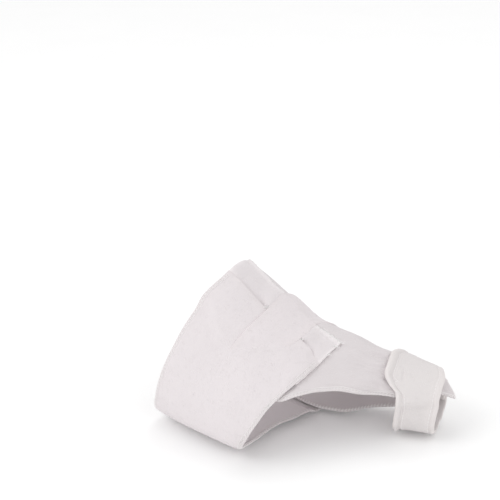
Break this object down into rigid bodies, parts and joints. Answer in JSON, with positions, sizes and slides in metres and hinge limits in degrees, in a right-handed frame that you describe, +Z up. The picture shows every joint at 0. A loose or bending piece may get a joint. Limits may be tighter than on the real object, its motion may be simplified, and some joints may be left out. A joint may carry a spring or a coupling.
{
  "type": "bunion corrector splint",
  "caption": "White cloth bunion splint in its worn form: inner-side panel, wide band round the instep, closing strap over the band's end and a narrow strap round the big toe",
  "frame": {"origin": "on the inner face of the wrap's sole, at the middle of the wrap's width, where the sole of the foot rests", "axes": "+X along the foot towards the toes, +Y towards the big toe (the inner side of a right foot), +Z up"},
  "size_m": [0.1509, 0.1129, 0.0866],
  "materials": {
    "panel_cloth": "brushed, matt",
    "wrap_cloth": "brushed, matt",
    "tab_cloth": "matt",
    "strap_cloth": "brushed, matt",
    "toe_cloth": "brushed, matt"
  },
  "bodies": {
    "root": {"splint_panel": "panel_cloth", "instep_wrap": "wrap_cloth", "hook_tab": "tab_cloth", "closure_strap": "strap_cloth", "toe_strap": "toe_cloth"}
  },
  "joints": []
}
